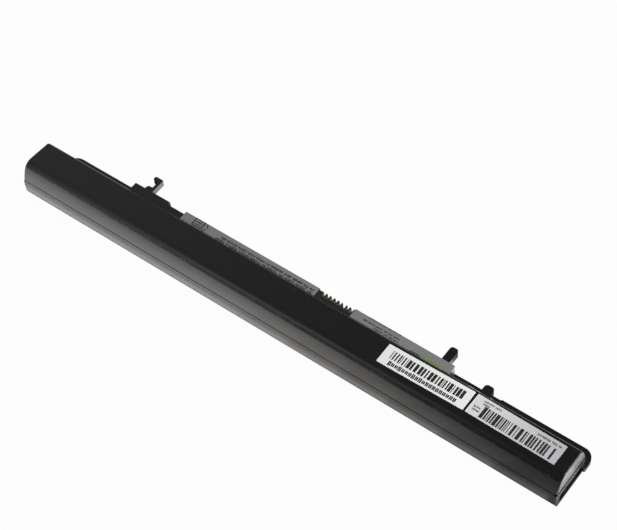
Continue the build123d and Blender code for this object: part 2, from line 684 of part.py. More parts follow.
def make_strap(start):
    """Nickel strap folded between two cells, with a tail that reaches the board."""
    low, high = CELL_Z - STRAP_WIDTH / 2, CELL_Z + STRAP_WIDTH / 2
    front = CELL_Y - STRAP_REACH
    fold_back = CELL_Y + CELL_RADIUS
    end = start + CELL_GAP
    strap = block(start, start + STRAP_THICKNESS, front, fold_back, low, high)
    strap += block(end - STRAP_THICKNESS, end, front, fold_back, low, high)
    strap += block(start, end, fold_back - STRAP_THICKNESS, fold_back, low, high)
    middle = (start + end) / 2
    tail_low = BOARD_TOP + STRAP_TAIL_LIFT
    tail_high = tail_low + STRAP_TAIL_WIDTH
    tail_back = BOARD_BACK + STRAP_THICKNESS
    half_thickness = STRAP_THICKNESS / 2
    strap += block(
        middle - half_thickness,
        middle + half_thickness,
        fold_back - STRAP_THICKNESS,
        tail_back,
        tail_low,
        tail_high,
    )
    strap += block(
        middle - STRAP_FOOT_WIDTH / 2,
        middle + STRAP_FOOT_WIDTH / 2,
        BOARD_BACK,
        tail_back,
        BOARD_TOP - STRAP_FOOT_WIDTH / 2,
        tail_high,
    )
    return strap


def make_end_tab(start):
    """Nickel tab on the end of the cell row, with an arm to the lead in the lower rear corner."""
    low, high = CELL_Z - STRAP_WIDTH / 2, CELL_Z + STRAP_WIDTH / 2
    end = start + STRAP_THICKNESS
    arm_y = LEAD_CORNER_DEPTH + LEAD_DIAMETER / 2
    arm_z = WALL + LEAD_CORNER_HEIGHT
    tab = block(start, end, CELL_Y - STRAP_REACH, CELL_Y + STRAP_REACH, low, high)
    tab += block(start, end, arm_y - TAB_ARM_WIDTH, arm_y, low, CELL_Z)
    arm_front = CELL_Y + STRAP_REACH - TAB_ARM_OVERLAP
    tab += block(start, end, arm_front, arm_y, low, low + TAB_ARM_WIDTH)
    foot_z = arm_z - LEAD_DIAMETER / 2
    tab += block(start, end, arm_y - TAB_ARM_WIDTH, arm_y, foot_z, low + TAB_ARM_OVERLAP)
    return tab


def make_lead(x_tab, x_board):
    """Insulated lead along the lower rear corner, from an end tab to the end of the board."""
    z = WALL + LEAD_CORNER_HEIGHT
    board_y = (BOARD_FRONT + BOARD_BACK) / 2
    side = 1 if x_board > x_tab else -1
    path = FilletPolyline(
        (x_tab, LEAD_CORNER_DEPTH, z),
        (x_board - side * 2 * LEAD_SHIFT_LENGTH, LEAD_CORNER_DEPTH, z),
        (x_board - side * LEAD_SHIFT_LENGTH, board_y, z),
        (x_board, board_y, z),
        radius=LEAD_BEND_RADIUS,
    )
    return sweep(Plane(origin=path @ 0, z_dir=path % 0) * Circle(LEAD_DIAMETER / 2), path)


def make_pad(start, end):
    """Foam block between the cell row and an end wall, cut to the wall's lean."""
    half_size = PAD_SIZE / 2
    front, low = CELL_Y - half_size, CELL_Z - half_size
    return block(start, end, front, front + PAD_SIZE, low, low + PAD_SIZE) & cell_space()


def make_adhesive(left, right):
    """Double-sided tape under the cells."""
    front = CELL_Y - ADHESIVE_WIDTH / 2
    return block(left, right, front, front + ADHESIVE_WIDTH, WALL, WALL + ADHESIVE_THICKNESS)


def cell_start(number):
    """Left end of a cell, counted from 0 at the left."""
    return STACK_START + number * (CELL_LENGTH + CELL_GAP)


def strap_middles():
    """Middle of each gap between two cells."""
    return [cell_start(number) - CELL_GAP / 2 for number in range(1, CELL_COUNT)]


def make_insulation_sheet():
    """Thin card between the cells and the board, notched where the straps pass."""
    front = BOARD_FRONT - SHEET_THICKNESS
    top = PARTING - SHEET_TOP_ROOM
    sheet = block(BOARD_LEFT, BOARD_RIGHT, front, BOARD_FRONT, WALL, top)
    half_notch = STRAP_FOOT_WIDTH / 2 + SHEET_NOTCH_MARGIN
    for x in strap_middles():
        sheet -= block(
            x - half_notch,
            x + half_notch,
            front - OVERCUT,
            BOARD_FRONT + OVERCUT,
            BOARD_TOP,
            PARTING,
        )
    return sheet


def on_board(x, length, height, thickness):
    """Part soldered on the rear face of the board, halfway up it."""
    low = WALL + (BOARD_HEIGHT - height) / 2
    return block(
        x - length / 2, x + length / 2, BOARD_BACK, BOARD_BACK + thickness, low, low + height
    )


# Each part's place along the board, and its length, height and thickness
BOARD_PARTS = {
    "gauge_chip": (GAUGE_CHIP_PLACE, GAUGE_CHIP_SIZE),
    "mosfet_1": (BOARD_RIGHT - FIRST_MOSFET_SETBACK, MOSFET_SIZE),
    "mosfet_2": (BOARD_RIGHT - SECOND_MOSFET_SETBACK, MOSFET_SIZE),
    "sense_resistor": (BOARD_RIGHT - SENSE_RESISTOR_SETBACK, SENSE_RESISTOR_SIZE),
    "chip_fuse": (CHIP_FUSE_PLACE, CHIP_FUSE_SIZE),
    "quartz_clock": (QUARTZ_CLOCK_PLACE, QUARTZ_CLOCK_SIZE),
}


def build_parts():
    """Every piece of the pack by its node name."""
    parts = {
        "upper_shell": make_upper_shell(),
        "lower_shell": make_lower_shell(),
        "connector_housing": make_connector_housing(),
    }
    contact_number = 0
    for number, x, width in slot_places():
        if number != KEY_SLOT_NUMBER:
            contact_number += 1
            parts[f"contact_{contact_number}"] = make_contact(x, width)
    parts["silver_label_left"] = make_silver_label(LEFT_LABEL_START, BAY_LEFT)
    parts["silver_label_right"] = make_silver_label(BAY_RIGHT, RIGHT_BLOCK_END + LABEL_END_OVERHANG)
    parts["barcode_sticker_left"] = make_sticker(LEFT_STICKER_X, LEFT_STICKER_TURN)
    parts["barcode_sticker_right"] = make_sticker(RIGHT_STICKER_X, RIGHT_STICKER_TURN)
    for number in range(CELL_COUNT):
        start = cell_start(number)
        parts[f"cell_{number + 1}"] = make_cell(start)
        parts[f"insulator_ring_{number + 1}"] = make_ring(start)
        if number < CELL_COUNT - 1:
            parts[f"nickel_strap_{number + 1}"] = make_strap(start + CELL_LENGTH)
    parts["end_tab_left"] = make_end_tab(STACK_START - STRAP_THICKNESS)
    parts["end_tab_right"] = make_end_tab(STACK_END)
    parts["lead_left"] = make_lead(STACK_START, BOARD_LEFT)
    parts["lead_right"] = make_lead(STACK_END, BOARD_RIGHT)
    parts["foam_pad_left"] = make_pad(LEFT_END - LEFT_END_SLANT, LEFT_END + WALL + LEFT_PAD)
    parts["foam_pad_right"] = make_pad(CAVITY_RIGHT - RIGHT_PAD, CAVITY_RIGHT)
    tape_left = STACK_START + ADHESIVE_END_SETBACK
    tape_right = STACK_END - ADHESIVE_END_SETBACK
    parts["adhesive_strip"] = make_adhesive(tape_left, tape_right)
    parts["circuit_board"] = block(
        BOARD_LEFT, BOARD_RIGHT, BOARD_FRONT, BOARD_BACK, WALL, BOARD_TOP
    )
    parts["insulation_sheet"] = make_insulation_sheet()
    for name, (place, size) in BOARD_PARTS.items():
        parts[name] = on_board(place, *size)
    sheet_front = BOARD_FRONT - SHEET_THICKNESS
    thermistor_top = PARTING - THERMISTOR_TOP_ROOM
    parts["thermistor"] = block(
        THERMISTOR_PLACE - THERMISTOR_LENGTH / 2,
        THERMISTOR_PLACE + THERMISTOR_LENGTH / 2,
        sheet_front - THERMISTOR_THICKNESS,
        sheet_front,
        thermistor_top - THERMISTOR_HEIGHT,
        thermistor_top,
    )
    return parts


os.makedirs("parts", exist_ok=True)
for node, solid in build_parts().items():
    export_step(Pos(-ORIGIN_X, -ORIGIN_Y, 0) * solid, f"parts/{node}.step")
    print(node, round(solid.volume, 2))
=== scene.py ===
"""Looks of a slim laptop battery.

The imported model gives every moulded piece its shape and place. This script dresses those pieces, adds the
generic print on the labels and stickers, and sets the studio and the camera.
"""

from __future__ import annotations

import json
import logging
import math
from dataclasses import dataclass
from enum import Enum

import bpy
import numpy as np
from mathutils import Matrix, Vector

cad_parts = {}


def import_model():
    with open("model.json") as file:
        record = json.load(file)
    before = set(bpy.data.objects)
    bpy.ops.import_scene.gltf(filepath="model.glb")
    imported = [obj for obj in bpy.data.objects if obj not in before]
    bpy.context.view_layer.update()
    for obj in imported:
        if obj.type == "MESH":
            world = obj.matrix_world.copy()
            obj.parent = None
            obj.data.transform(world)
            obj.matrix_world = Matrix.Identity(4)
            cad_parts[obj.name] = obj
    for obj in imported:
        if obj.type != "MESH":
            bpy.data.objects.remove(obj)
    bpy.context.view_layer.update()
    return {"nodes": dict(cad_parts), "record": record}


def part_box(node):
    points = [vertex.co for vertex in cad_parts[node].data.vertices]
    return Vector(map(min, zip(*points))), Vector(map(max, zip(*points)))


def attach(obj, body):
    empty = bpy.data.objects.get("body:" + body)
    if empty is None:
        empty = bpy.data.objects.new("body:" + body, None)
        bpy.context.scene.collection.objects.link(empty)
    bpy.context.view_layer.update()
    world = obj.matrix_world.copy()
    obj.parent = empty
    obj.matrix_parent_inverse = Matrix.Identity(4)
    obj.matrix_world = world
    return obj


log = logging.getLogger("battery")

MM = 0.001
Colour = tuple[float, float, float]
Point = tuple[float, float, float]
Span = tuple[float, float]

WHITE: Colour = (1.0, 1.0, 1.0)
# Black of the painted shade in the seam between the shells; it mirrors nothing.
SEAM_SHADE_BLACK: Colour = (0.002, 0.002, 0.002)

# Watts per square metre at which a lamp looks white.
WHITE_POWER = 4.0


def scaled(colour: Colour, factor: float) -> Colour:
    """A colour made paler or darker by a factor."""
    return tuple(factor * share for share in colour)


def placed(side: np.ndarray, rise: np.ndarray, back: np.ndarray, place: np.ndarray | Point) -> Matrix:
    """Builds the place of a lamp or camera, which looks along its own minus Z.

    Args:
        side: the direction of its X.
        rise: the direction of its Y.
        back: the direction of its Z.
        place: where it stands, in metres.

    Returns:
        The matrix with those four as its columns.
    """
    matrix = np.eye(4)
    matrix[:3, 0], matrix[:3, 1], matrix[:3, 2], matrix[:3, 3] = side, rise, back, place
    return Matrix(matrix.tolist())


class Graph:
    """The node tree of one material or world, with one method for nodes and a few for common patterns."""

    def __init__(self, owner: bpy.types.Material | bpy.types.World) -> None:
        """Empties the owner's node tree.

        Args:
            owner: the material or world.
        """
        owner.use_nodes = True
        self.owner = owner
        self.tree = owner.node_tree
        self.tree.nodes.clear()
        self._place: Socket | None = None

    def node(self, kind: str, settings: dict | None = None, inputs: dict | None = None) -> bpy.types.Node:
        """Adds a node.

        Args:
            kind: the node's type name in Blender.
            settings: attributes set first, such as a Math node's operation.
            inputs: values or sockets by input name or number.

        Returns:
            The new node.
        """
        made = self.tree.nodes.new(kind)
        for name, value in (settings or {}).items():
            setattr(made, name, value)
        for name, value in (inputs or {}).items():
            self._feed(made.inputs[name], value)
        return made

    def _feed(self, target: bpy.types.NodeSocket, value: object) -> None:
        """Links a socket or sets a plain value on an input.

        Args:
            target: the input.
            value: a wrapped socket, a number, a vector or a colour of three shares.
        """
        if isinstance(value, Socket):
            self.tree.links.new(value.link, target)
        elif isinstance(value, tuple) and target.type == "RGBA" and len(value) == 3:
            target.default_value = (*value, 1.0)
        else:
            target.default_value = value

    def out(
        self, kind: str, output: str | int, settings: dict | None = None, inputs: dict | None = None
    ) -> Socket:
        """Adds a node and returns one of its outputs, wrapped for arithmetic."""
        return Socket(self, self.node(kind, settings, inputs).outputs[output])

    def place(self) -> Socket:
        """Object coordinates, in metres."""
        if self._place is None:
            self._place = self.out("ShaderNodeTexCoord", "Object")
        return self._place

    def axis(self, letter: str) -> Socket:
        """One of the X, Y and Z object coordinates, in millimetres."""
        return self.out("ShaderNodeSeparateXYZ", letter, inputs={"Vector": self.place()}) / MM

    def noise(
        self, size_mm: float, detail: float = 3.0, stretch: Point = (1.0, 1.0, 1.0), seed: float = 0.0
    ) -> Socket:
        """Smooth noise from 0 to 1.

        Args:
            size_mm: the size of its blobs.
            detail: how many finer layers it has.
            stretch: how much longer the blobs are along X, Y and Z.
            seed: moves the pattern.

        Returns:
            The noise value.
        """
        moves = {
            "Vector": self.place(),
            "Scale": tuple(1.0 / (MM * size_mm * share) for share in stretch),
            "Location": (seed, seed, seed),
        }
        moved = self.out("ShaderNodeMapping", "Vector", inputs=moves)
        layers = {"Vector": moved, "Scale": 1.0, "Detail": detail, "Roughness": 0.6}
        return self.out("ShaderNodeTexNoise", "Fac", inputs=layers)

    def ramp(self, value: Socket, low: float, high: float, start: float = 0.0, end: float = 1.0) -> Socket:
        """Carries a value from the range low..high to start..end, held at both ends, with soft corners."""
        return self.out(
            "ShaderNodeMapRange",
            "Result",
            settings={"interpolation_type": "SMOOTHSTEP", "clamp": True},
            inputs={"Value": value, "From Min": low, "From Max": high, "To Min": start, "To Max": end},
        )

    def blend(self, share: Socket | float, first: Socket | Colour, second: Socket | Colour) -> Socket:
        """Mix of two colours; a share of 0 gives the first."""
        return self.out("ShaderNodeMix", 2, {"data_type": "RGBA"}, {0: share, 6: first, 7: second})

    def mix(self, share: Socket, first: Socket, second: Socket) -> Socket:
        """Mix of two shaders; a share of 0 gives the first."""
        return self.out("ShaderNodeMixShader", 0, inputs={0: share, 1: first, 2: second})

    def bump(self, height: Socket, depth_mm: float) -> Socket:
        """Surface relief from a height of 0 to 1 over a depth in millimetres."""
        relief = {"Height": height, "Distance": depth_mm * MM, "Strength": 1.0}
        return self.out("ShaderNodeBump", "Normal", inputs=relief)

    def close(self, gap: Socket | None = None, **inputs: object) -> None:
        """Ends the material in a Principled shader.

        Args:
            gap: where it is 1 the surface is painted black, as shade in a seam, and mirrors nothing.
            inputs: the shader's inputs, with underscores read as spaces.
        """
        named = {name.replace("_", " "): value for name, value in inputs.items()}
        surface = self.out("ShaderNodeBsdfPrincipled", "BSDF", inputs=named)
        if gap is not None:
            # Painted shade: a black diffuse that mirrors nothing, mixed in where gap is 1.
            dark = self.out("ShaderNodeBsdfDiffuse", 0, inputs={"Color": SEAM_SHADE_BLACK})
            surface = self.mix(gap, surface, dark)
        self.node("ShaderNodeOutputMaterial", inputs={"Surface": surface})


class Socket:
    """An output socket that adds Math nodes when it is used in arithmetic."""

    def __init__(self, graph: Graph, link: bpy.types.NodeSocket) -> None:
        """Wraps a node's output."""
        self.graph = graph
        self.link = link

    def _math(self, operation: str, first: Socket | float, second: Socket | float) -> Socket:
        """One Math node."""
        return self.graph.out("ShaderNodeMath", 0, {"operation": operation}, {0: first, 1: second})

    def __add__(self, other: Socket | float) -> Socket:
        """Sum."""
        return self._math("ADD", self, other)

    __radd__ = __add__

    def __sub__(self, other: Socket | float) -> Socket:
        """Difference."""
        return self._math("SUBTRACT", self, other)

    def __rsub__(self, other: Socket | float) -> Socket:
        """Difference from a number."""
        return self._math("SUBTRACT", other, self)

    def __mul__(self, other: Socket | float) -> Socket:
        """Product."""
        return self._math("MULTIPLY", self, other)

    __rmul__ = __mul__

    def __truediv__(self, other: Socket | float) -> Socket:
        """Quotient."""
        return self._math("DIVIDE", self, other)

    def gap(self, level: float) -> Socket:
        """How far the value is from a level."""
        return self._math("ABSOLUTE", self - level, 0.0)


class Finish:
    """A finish of a surface, which paints itself into a material."""

    def material(self, name: str) -> bpy.types.Material:
        """Makes the material.

        Args:
            name: the material's name.

        Returns:
            The material.
        """
        graph = Graph(bpy.data.materials.new(name))
        self.paint(graph)
        return graph.owner

    def paint(self, graph: Graph) -> None:
        """Adds the nodes of the finish; each finish has its own."""
        raise NotImplementedError


@dataclass(frozen=True)
class CasingPlastic(Finish):
    """Black satin moulded plastic with a fine grain, faint handling marks and a little dust.

    A scuffed line runs along the shoulder, and painted shade, a black band that mirrors nothing, runs round
    at the height where the shells meet.
    """

    colour: Colour = (0.0042, 0.0042, 0.0043)
    roughness: float = 0.32
    roughness_spread: float = 0.05
    cloud_mm: float = 9.0
    ior: float = 1.57
    grain_mm: float = 0.16
    grain_depth_mm: float = 0.0003
    dust_colour: Colour = (0.16, 0.155, 0.145)
    dust_share: float = 0.5
    dust_roughness: float = 0.1
    speck_mm: float = 0.55
    speck_levels: Span = (0.70, 0.78)
    patch_mm: float = 22.0
    patch_levels: Span = (0.45, 0.70)
    wear_height_mm: float = 18.5
    wear_band_mm: Span = (0.05, 0.32)
    wander_mm: float = 16.0
    wander_reach_mm: float = 1.6
    scuff_mm: float = 0.5
    scuff_levels: Span = (0.53, 0.64)
    scuff_share: float = 0.5
    seam_height_mm: float = 11.6
    # Band of painted seam shade, and its widening on the end wall at the right.
    seam_shade_band_mm: Span = (0.16, 0.26)
    end_seam_shade_mm: float = 0.4
    end_wall_mm: Span = (133.6, 134.4)

    def paint(self, graph: Graph) -> None:
        """Paints the plastic, with the painted seam shade wider on the end wall at the right.

        Args:
            graph: the material's graph.
        """
        grain = graph.noise(self.grain_mm, detail=2.0)
        cloud = graph.noise(self.cloud_mm, detail=4.0, stretch=(3.0, 1.0, 1.0), seed=3.0)
        dust = self._specks(graph) * self.dust_share + self._scuffs(graph) * self.scuff_share
        # Painted shade: a black band at the seam height stands for the shade in the seam between the
        # shells, widened on the end wall.
        seam_shade_widening = graph.ramp(graph.axis("X"), *self.end_wall_mm) * self.end_seam_shade_mm
        off_seam_shade = graph.axis("Z").gap(self.seam_height_mm) - seam_shade_widening
        spread = (cloud - 0.5) * (2 * self.roughness_spread)
        graph.close(
            gap=graph.ramp(off_seam_shade, *self.seam_shade_band_mm, 1.0, 0.0),
            Base_Color=graph.blend(dust, self.colour, self.dust_colour),
            Roughness=self.roughness + spread + dust * self.dust_roughness,
            IOR=self.ior,
            Normal=graph.bump(grain, self.grain_depth_mm),
        )

    def _specks(self, graph: Graph) -> Socket:
        """Specks of dust, gathered in patches.

        Args:
            graph: the material's graph.

        Returns:
            Where a speck lies, from 0 to 1.
        """
        speck = graph.ramp(graph.noise(self.speck_mm, detail=1.0, seed=7.0), *self.speck_levels)
        patch = graph.ramp(graph.noise(self.patch_mm, detail=2.0, seed=11.0), *self.patch_levels)
        return speck * patch

    def _scuffs(self, graph: Graph) -> Socket:
        """Broken line of scuffs that wanders a little about one height of the shoulder.

        Args:
            graph: the material's graph.

        Returns:
            Where the plastic is scuffed, from 0 to 1.
        """
        wander = graph.noise(self.wander_mm, detail=3.0, stretch=(1.0, 0.1, 0.1), seed=13.0) - 0.5
        height = graph.axis("Z") + wander * self.wander_reach_mm
        line = graph.ramp(height.gap(self.wear_height_mm), *self.wear_band_mm, 1.0, 0.0)
        scuff = graph.noise(self.scuff_mm, detail=3.0, stretch=(1.6, 1.0, 1.0), seed=17.0)
        return line * graph.ramp(scuff, *self.scuff_levels)


@dataclass(frozen=True)
class SocketPlastic(Finish):
    """Matt black plastic of the connector housing."""

    colour: Colour = (0.010, 0.010, 0.0105)
    roughness: float = 0.38
    grain_mm: float = 0.12
    grain_depth_mm: float = 0.002
    cloud_mm: float = 2.5
    cloud_roughness: float = 0.12
    pale_factor: float = 2.2
    pale_share: float = 0.6

    def paint(self, graph: Graph) -> None:
        """Paints the plastic, a little paler where the noise is high.

        Args:
            graph: the material's graph.
        """
        grain = graph.noise(self.grain_mm, detail=2.0)
        cloud = graph.noise(self.cloud_mm, detail=3.0)
        pale = scaled(self.colour, self.pale_factor)
        graph.close(
            Base_Color=graph.blend(cloud * self.pale_share, self.colour, pale),
            Roughness=self.roughness + cloud * self.cloud_roughness,
            Normal=graph.bump(grain, self.grain_depth_mm),
        )


@dataclass(frozen=True)
class Metal(Finish):
    """A bare metal with fine rolling marks along X."""

    colour: Colour
    dark: Colour
    roughness: float = 0.3
    mark_mm: float = 0.05
    mark_stretch: float = 14.0
    mark_depth_mm: float = 0.002
    mark_roughness: float = 0.08
    tarnish_mm: float = 1.6
    tarnish_levels: Span = (0.4, 0.75)
    tarnish_share: float = 0.7
    tarnish_roughness: float = 0.2

    def paint(self, graph: Graph) -> None:
        """Paints the metal, duller and darker where the noise is high.

        Args:
            graph: the material's graph.
        """
        marks = graph.noise(self.mark_mm, detail=2.0, stretch=(self.mark_stretch, 1.0, 1.0))
        tarnish = graph.ramp(graph.noise(self.tarnish_mm, detail=4.0, seed=5.0), *self.tarnish_levels)
        graph.close(
            Base_Color=graph.blend(tarnish * self.tarnish_share, self.colour, self.dark),
            Metallic=1.0,
            Roughness=self.roughness + tarnish * self.tarnish_roughness + marks * self.mark_roughness,
            Normal=graph.bump(marks, self.mark_depth_mm),
        )


@dataclass(frozen=True)
class SilverFilm(Finish):
    """Silver-grey film of the rating labels: a satin metallic ink under a matt coat."""

    colour: Colour = (0.250, 0.250, 0.250)
    bright_factor: float = 1.12
    dim_factor: float = 0.90
    roughness: float = 0.42
    metallic: float = 0.35
    fleck_mm: float = 0.09
    fleck_relief: float = 0.15
    wave_mm: float = 14.0
    wave_roughness: float = 0.08
    relief_mm: float = 0.012

    def paint(self, graph: Graph) -> None:
        """Paints the film, with a fine metallic fleck and a slow waviness.

        Args:
            graph: the material's graph.
        """
        fleck = graph.noise(self.fleck_mm, detail=1.0)
        wave = graph.noise(self.wave_mm, detail=2.0, stretch=(2.0, 1.0, 1.0), seed=2.0)
        bright = scaled(self.colour, self.bright_factor)
        dim = scaled(self.colour, self.dim_factor)
        graph.close(
            Base_Color=graph.blend(fleck * 0.5 + wave * 0.5, dim, bright),
            Metallic=self.metallic,
            Roughness=self.roughness + wave * self.wave_roughness,
            Normal=graph.bump(fleck * self.fleck_relief + wave, self.relief_mm),
        )


@dataclass(frozen=True)
class WhitePaper(Finish):
    """White sticker paper with a weak fibre and a soft sheen.

    Along X, the left sticker ends and the right one begins within change_mm, and painted shade darkens the
    right one towards its right end.
    """

    colour: Colour = (0.79, 0.79, 0.78)
    dim_factor: float = 0.95
    second: Colour = (0.62, 0.62, 0.615)
    # Colour of the painted shade at the right end of the right sticker.
    painted_shade_end: Colour = (0.41, 0.42, 0.435)
    change_mm: Span = (89.0, 90.0)
    # Span along X over which that painted shade deepens.
    shade_fade_mm: Span = (88.0, 132.0)
    roughness: float = 0.5
    fibre_mm: float = 0.35
    fibre_roughness: float = 0.1
    fibre_depth_mm: float = 0.006
    cloud_mm: float = 7.0

    def paint(self, graph: Graph) -> None:
        """Paints the paper; the sticker on the right is greyer, and painted shade darkens and cools it
        towards its right end.

        Args:
            graph: the material's graph.
        """
        fibre = graph.noise(self.fibre_mm, detail=4.0, stretch=(2.0, 1.0, 1.0))
        cloud = graph.noise(self.cloud_mm, detail=2.0, seed=9.0)
        dim = scaled(self.colour, self.dim_factor)
        first = graph.blend(fibre * 0.5 + cloud * 0.5, dim, self.colour)
        # Painted shade: the right sticker darkens and cools towards its right end.
        second = graph.blend(graph.ramp(graph.axis("X"), *self.shade_fade_mm), self.second, self.painted_shade_end)
        graph.close(
            Base_Color=graph.blend(graph.ramp(graph.axis("X"), *self.change_mm), first, second),
            Roughness=self.roughness + fibre * self.fibre_roughness,
            Normal=graph.bump(fibre, self.fibre_depth_mm),
        )


@dataclass(frozen=True)
class Ink(Finish):
    """Printed ink, slightly uneven."""

    colour: Colour
    pale_share: float = 0.25
    pale: Colour = (0.30, 0.30, 0.30)
    roughness: float = 0.55
    patch_mm: float = 0.5
    patch_levels: Span = (0.4, 0.8)
    patch_roughness: float = 0.1

    def paint(self, graph: Graph) -> None:
        """Paints the ink, which lets some of the ground through where the noise is high.

        Args:
            graph: the material's graph.
        """
        patch = graph.ramp(graph.noise(self.patch_mm, detail=3.0, seed=4.0), *self.patch_levels)
        graph.close(
            Base_Color=graph.blend(patch * self.pale_share, self.colour, self.pale),
            Roughness=self.roughness + patch * self.patch_roughness,
        )


@dataclass(frozen=True)
class SoftSolid(Finish):
    """Any plain inner material: sleeve, card, foam, tape, insulation, solder mask or chip body."""

    colour: Colour
    roughness: float
    grain_mm: float
    grain_depth_mm: float
    variation: float = 0.12
    cloud_factor: float = 12.0
    grain_roughness: float = 0.1

    def paint(self, graph: Graph) -> None:
        """Paints the material, with a grain in its relief and a slight change of tone.

        Args:
            graph: the material's graph.
        """
        grain = graph.noise(self.grain_mm, detail=3.0)
        cloud = graph.noise(self.grain_mm * self.cloud_factor, detail=2.0, seed=6.0)
        low = scaled(self.colour, 1 - self.variation)
        high = scaled(self.colour, 1 + self.variation)
        graph.close(
            Base_Color=graph.blend(cloud, low, high),
            Roughness=self.roughness + (grain - 0.5) * self.grain_roughness,
            Normal=graph.bump(grain, self.grain_depth_mm),
        )


class Slot(Enum):
    """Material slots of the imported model."""

    CASING = "casing"
    SOCKET_PLASTIC = "socket_plastic"
    CONTACT_METAL = "contact_metal"
    SILVER_LABEL = "silver_label"
    WHITE_STICKER = "white_sticker"
    CELL_SLEEVE = "cell_sleeve"
    INSULATING_CARD = "insulating_card"
    NICKEL = "nickel"
    LEAD_RED = "lead_red"
    LEAD_BLACK = "lead_black"
    FOAM = "foam"
    ADHESIVE = "adhesive"
    CIRCUIT_BOARD = "circuit_board"
    CHIP_PLASTIC = "chip_plastic"
    CHIP_METAL = "chip_metal"
    CERAMIC_BODY = "ceramic_body"


FINISHES = {
    Slot.CASING: CasingPlastic(),
    Slot.SOCKET_PLASTIC: SocketPlastic(),
    Slot.CONTACT_METAL: Metal(colour=(0.58, 0.46, 0.30), dark=(0.27, 0.18, 0.10)),
    Slot.SILVER_LABEL: SilverFilm(),
    Slot.WHITE_STICKER: WhitePaper(),
    Slot.CELL_SLEEVE: SoftSolid((0.05, 0.17, 0.32), 0.28, 0.8, 0.004),
    Slot.INSULATING_CARD: SoftSolid((0.66, 0.62, 0.52), 0.8, 0.25, 0.01),
    Slot.NICKEL: Metal(colour=(0.60, 0.57, 0.52), dark=(0.42, 0.39, 0.34)),
    Slot.LEAD_RED: SoftSolid((0.42, 0.025, 0.02), 0.45, 0.4, 0.003),
    Slot.LEAD_BLACK: SoftSolid((0.015, 0.015, 0.015), 0.45, 0.4, 0.003),
    Slot.FOAM: SoftSolid((0.05, 0.05, 0.05), 0.95, 0.5, 0.06, 0.3),
    Slot.ADHESIVE: SoftSolid((0.72, 0.69, 0.60), 0.6, 0.5, 0.006),
    Slot.CIRCUIT_BOARD: SoftSolid((0.015, 0.13, 0.045), 0.35, 0.3, 0.003, 0.25),
    Slot.CHIP_PLASTIC: SoftSolid((0.02, 0.02, 0.02), 0.6, 0.12, 0.006),
    Slot.CHIP_METAL: Metal(colour=(0.62, 0.62, 0.60), dark=(0.40, 0.40, 0.38)),
    Slot.CERAMIC_BODY: SoftSolid((0.48, 0.47, 0.40), 0.55, 0.2, 0.003),
}


@dataclass(frozen=True)
class Mark:
    """One printed bar or block, in millimetres on its bed: its middle, its size and its turn in degrees."""

    x: float
    y: float
    width: float
    height: float
    turn: float = 0.0


@dataclass(frozen=True)
class PrintBed:
    """Where a print lies: its origin in millimetres, its turn in degrees and the height of its ground."""

    x: float
    y: float
    z: float
    turn: float = 0.0
    thickness: float = 0.012

    @classmethod
    def on_middle(cls, node: str, turn: float) -> PrintBed:
        """Bed on top of a sticker, with its origin in the sticker's middle.

        Args:
            node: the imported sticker.
            turn: the sticker's turn in degrees.

        Returns:
            The bed.
        """
        low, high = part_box(node)
        return cls((low.x + high.x) / 2 / MM, (low.y + high.y) / 2 / MM, high.z / MM, turn)

    @classmethod
    def on_corner(cls, node: str) -> PrintBed:
        """Bed on top of a label, with its origin in the label's left rear corner."""
        low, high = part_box(node)
        return cls(low.x / MM, high.y / MM, high.z / MM)

    def print_marks(
        self, name: str, marks: list[Mark], ink: bpy.types.Material, slot: Slot
    ) -> bpy.types.Object:
        """Makes all the marks of a print as one mesh of thin closed plates.

        The corners of every plate come from a unit box, stretched to the mark's size, turned by its own
        turn, moved to its place, and then turned and moved with the bed, for all marks in one array.

        Args:
            name: the piece's name.
            marks: the printed shapes.
            ink: their material.
            slot: not used.

        Returns:
            The piece, riding on the one body.
        """
        unit = np.array([[x, y, z] for z in (0.0, 1.0) for y in (-0.5, 0.5) for x in (-0.5, 0.5)])
        places = np.array([[mark.x, mark.y, 0.0] for mark in marks])
        sizes = np.array([[mark.width, mark.height, self.thickness] for mark in marks])
        turns = np.radians([mark.turn for mark in marks])
        on_bed = self._turned(unit[None] * sizes[:, None], turns) + places[:, None]
        corners = self._turned(on_bed, np.full(len(marks), math.radians(self.turn)))
        corners += np.array([self.x, self.y, self.z])
        sides = np.array(
            [[0, 2, 3, 1], [4, 5, 7, 6], [0, 1, 5, 4], [2, 6, 7, 3], [0, 4, 6, 2], [1, 3, 7, 5]]
        )
        first_corners = len(unit) * np.arange(len(marks))
        faces = (sides[None] + first_corners[:, None, None]).reshape(-1, 4)
        mesh = bpy.data.meshes.new(name)
        mesh.from_pydata((corners.reshape(-1, 3) * MM).tolist(), [], faces.tolist())
        mesh.materials.append(ink)
        piece = bpy.data.objects.new(name, mesh)
        bpy.context.scene.collection.objects.link(piece)
        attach(piece, "root")
        return piece

    @staticmethod
    def _turned(corners: np.ndarray, angles: np.ndarray) -> np.ndarray:
        """Corners turned about Z: x cos a - y sin a, and x sin a + y cos a.

        Args:
            corners: the corners of every mark.
            angles: one angle a for each mark, in radians.

        Returns:
            The turned corners.
        """
        cosine, sine = np.cos(angles)[:, None], np.sin(angles)[:, None]
        x, y, z = corners[..., 0], corners[..., 1], corners[..., 2]
        return np.stack([x * cosine - y * sine, x * sine + y * cosine, z], axis=-1)


@dataclass(frozen=True)
class StripeRow:
    """Row of upright stripes of uneven widths, from start to end; widths and gaps count in modules."""

    seed: int
    start: float
    end: float
    y: float
    height: float
    module: float
    widths: tuple[int, ...] = (1, 1, 2, 2, 3, 4)
    gaps: tuple[int, ...] = (1, 1, 1, 2, 2)

    def marks(self) -> list[Mark]:
        """Draws the stripes.

        Returns:
            The stripes.
        """
        draw = np.random.default_rng(self.seed)
        stripes = []
        x = self.start
        while x < self.end:
            width = self.module * draw.choice(self.widths)
            stripes.append(Mark(x + width / 2, self.y, width, self.height))
            x += width + self.module * draw.choice(self.gaps)
        return stripes


